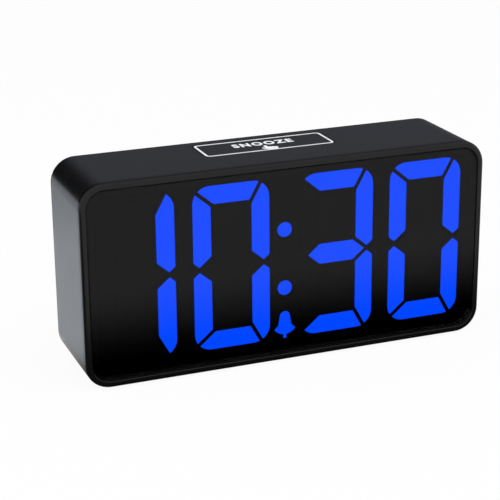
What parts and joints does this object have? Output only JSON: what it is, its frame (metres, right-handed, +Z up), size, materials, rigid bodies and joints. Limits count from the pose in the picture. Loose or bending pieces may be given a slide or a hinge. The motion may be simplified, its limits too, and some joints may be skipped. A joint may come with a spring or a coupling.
{
  "type": "alarm clock",
  "caption": "Rounded black bedside alarm clock: smoked window over large blue segment digits, snooze key on top, setting keys, sliders, dimmer wheel and battery door at the back.",
  "frame": {"origin": "middle of the clock's outline on the surface that its feet stand on", "axes": "+X to the right seen from the front, +Y from the front to the back, +Z up"},
  "size_m": [0.1346, 0.0356, 0.066],
  "materials": {
    "case_black": "fine satin texture",
    "bezel_black": "semi-gloss",
    "smoked_acrylic": "polished, smoked",
    "lit_blue": "lit diffuser",
    "dark_segment": "unlit diffuser",
    "display_black": "matt",
    "lamp_white": "satin",
    "circuit_board": "solder mask",
    "component_black": "moulded",
    "key_black": "satin",
    "switch_steel": "plated",
    "screw_steel": "blackened",
    "contact_nickel": "nickel plated",
    "plated_brass": "plated",
    "foot_rubber": "soft matt"
  },
  "bodies": {
    "clock": {"front_bezel": "bezel_black", "display_window": "smoked_acrylic", "display_reflector": "display_black", "segment_leds": "lamp_white", "display_board": "circuit_board", "header_strips": "component_black", "header_pins": "plated_brass", "case_shell": "case_black", "rubber_feet": "foot_rubber", "snooze_switch": "component_black", "rear_cover": "case_black", "cover_screws": "screw_steel", "control_board": "circuit_board", "board_screws": "screw_steel", "key_switches": "component_black", "alarm_switch": "switch_steel", "volume_switch": "switch_steel", "dimmer_pot": "component_black", "dc_jack": "component_black", "dc_jack_pin": "plated_brass", "buzzer": "component_black", "clock_chip": "component_black", "quartz_crystal": "switch_steel", "smoothing_capacitor": "component_black", "battery_box": "case_black", "battery_plates": "contact_nickel", "battery_springs": "contact_nickel", "hour_tens_dark": "dark_segment", "hour_tens_lit": "lit_blue", "hour_units_lit": "lit_blue", "hour_units_dark": "dark_segment", "minute_tens_lit": "lit_blue", "minute_tens_dark": "dark_segment", "minute_units_lit": "lit_blue", "minute_units_dark": "dark_segment", "colon_dots": "lit_blue", "alarm_bell": "lit_blue"},
    "snooze": {"snooze_key": "case_black", "snooze_plunger": "lamp_white"},
    "time_button": {"time_key": "key_black", "time_plunger": "lamp_white"},
    "alarm_button": {"alarm_key": "key_black", "alarm_plunger": "lamp_white"},
    "hour_button": {"hour_key": "key_black", "hour_plunger": "lamp_white"},
    "minute_button": {"minute_key": "key_black", "minute_plunger": "lamp_white"},
    "alarm_knob": {"alarm_slider": "key_black"},
    "volume_knob": {"volume_slider": "key_black"},
    "dimmer": {"dimmer_wheel": "key_black", "dimmer_shaft": "switch_steel"},
    "door": {"battery_door": "case_black"}
  },
  "joints": [
    {"name": "snooze_press", "type": "slide", "parent": "clock", "child": "snooze", "axis": [0, 0, -1], "range_m": [0, 0.0008], "stiffness_N_per_m": 600, "springref_m": -0.001},
    {"name": "time_press", "type": "slide", "parent": "clock", "child": "time_button", "axis": [0, -1, 0], "range_m": [0, 0.0006], "stiffness_N_per_m": 500, "springref_m": -0.001},
    {"name": "alarm_press", "type": "slide", "parent": "clock", "child": "alarm_button", "axis": [0, -1, 0], "range_m": [0, 0.0006], "stiffness_N_per_m": 500, "springref_m": -0.001},
    {"name": "hour_press", "type": "slide", "parent": "clock", "child": "hour_button", "axis": [0, -1, 0], "range_m": [0, 0.0006], "stiffness_N_per_m": 500, "springref_m": -0.001},
    {"name": "minute_press", "type": "slide", "parent": "clock", "child": "minute_button", "axis": [0, -1, 0], "range_m": [0, 0.0006], "stiffness_N_per_m": 500, "springref_m": -0.001},
    {"name": "alarm_slide", "type": "slide", "parent": "clock", "child": "alarm_knob", "axis": [1, 0, 0], "range_m": [0, 0.002]},
    {"name": "volume_slide", "type": "slide", "parent": "clock", "child": "volume_knob", "axis": [1, 0, 0], "range_m": [0, 0.002]},
    {"name": "dimmer_turn", "type": "hinge", "parent": "clock", "child": "dimmer", "pos_m": [-0.0435, 0.0108, 0.047], "axis": [0, 0, 1], "range_deg": [-270, 0]},
    {"name": "door_swing", "type": "hinge", "parent": "clock", "child": "door", "pos_m": [0, 0.01445, 0.0078], "axis": [-1, 0, 0], "range_deg": [0, 90]}
  ]
}
